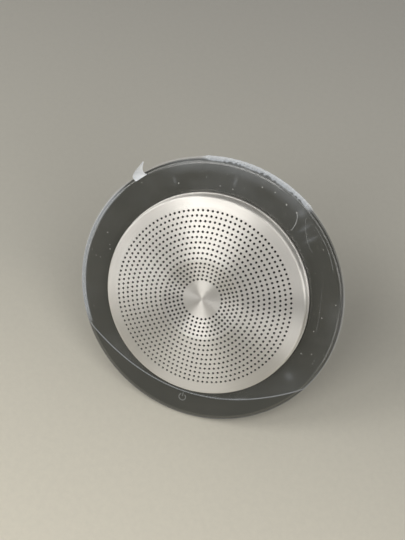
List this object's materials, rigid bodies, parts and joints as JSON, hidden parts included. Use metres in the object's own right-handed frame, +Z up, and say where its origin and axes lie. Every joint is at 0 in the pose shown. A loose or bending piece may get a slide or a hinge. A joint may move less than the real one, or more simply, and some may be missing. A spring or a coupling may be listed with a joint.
{
  "type": "conference speakerphone",
  "caption": "Round desk speakerphone with a perforated aluminium cap, glossy touch ring under delivery film, cable groove and fold-out stand, leaning back open.",
  "frame": {"origin": "middle of the outline on the surface it stands on, stand open", "axes": "+Z up, -Y towards the person it faces, +X to that person's right; the disc's face leans back 38 degrees from upright"},
  "size_m": [0.1331, 0.0918, 0.1077],
  "materials": {
    "brushed_aluminium": "brushed, clear anodised",
    "satin_aluminium": "bead-blasted satin",
    "gloss_black": "polished",
    "matte_black_plastic": "fine moulded texture",
    "grey_plastic": "moulded",
    "black_rubber": "matt",
    "black_cloth": "fine acoustic mesh",
    "foam": "open foam",
    "treated_cloth": "resin-treated cotton",
    "clear_plastic": "frosted clear",
    "circuit_board": "solder mask",
    "flex_circuit": "amber flexible circuit",
    "bare_steel": "bare",
    "zinc_steel": "zinc plated",
    "ferrite": "sintered",
    "copper": "enamelled wire",
    "cone_paper": "coated paper",
    "chip_plastic": "moulded epoxy",
    "white_plastic": "moulded",
    "cell_pouch": "aluminised pouch",
    "clear_film": "thin clear film",
    "white_tab": "thin milky film"
  },
  "bodies": {
    "housing": {"grille_cap": "brushed_aluminium", "grille_cloth": "black_cloth", "touch_ring": "gloss_black", "touch_sensor_sheet": "flex_circuit", "light_guide_ring": "clear_plastic", "led_board": "circuit_board", "upper_housing": "matte_black_plastic", "lower_housing": "matte_black_plastic", "cable_gland": "black_rubber", "base_cover": "matte_black_plastic", "base_pad": "black_rubber", "speaker_baffle": "grey_plastic", "speaker_gasket": "foam", "speaker_enclosure": "grey_plastic", "speaker_basket": "zinc_steel", "magnet_yoke": "bare_steel", "speaker_magnet": "ferrite", "magnet_top_plate": "bare_steel", "speaker_surround": "black_rubber", "speaker_spider": "treated_cloth", "microphone_boot": "black_rubber", "microphone_capsule": "bare_steel", "battery_cell": "cell_pouch", "battery_foam": "foam", "main_board": "circuit_board", "processor_shield": "bare_steel", "amplifier_chip": "chip_plastic", "memory_chip": "chip_plastic", "battery_socket": "white_plastic", "cable_socket": "white_plastic", "antenna_chip": "white_plastic", "stand_pin_left": "bare_steel", "stand_pin_right": "bare_steel", "protective_film": "clear_film", "film_pull_tab": "white_tab", "housing_screw_1": "zinc_steel", "speaker_screw_1": "zinc_steel", "housing_screw_2": "zinc_steel", "speaker_screw_2": "zinc_steel", "housing_screw_3": "zinc_steel", "speaker_screw_3": "zinc_steel", "housing_screw_4": "zinc_steel", "speaker_screw_4": "zinc_steel", "board_screw_1": "zinc_steel", "board_screw_2": "zinc_steel", "board_screw_3": "zinc_steel"},
    "cone": {"speaker_cone": "cone_paper", "voice_coil": "copper", "dust_cap": "cone_paper"},
    "stand": {"stand_bail": "satin_aluminium", "stand_foot": "black_rubber"}
  },
  "joints": [
    {"name": "stand_hinge", "type": "hinge", "parent": "housing", "child": "stand", "pos_m": [0, 0.02283, 0.05715], "axis": [1, 0, 0], "range_deg": [-58.48, 0]},
    {"name": "cone_travel", "type": "slide", "parent": "housing", "child": "cone", "axis": [0, -0.788, 0.6157], "range_m": [-0.001, 0.001], "stiffness_N_per_m": 2600}
  ]
}
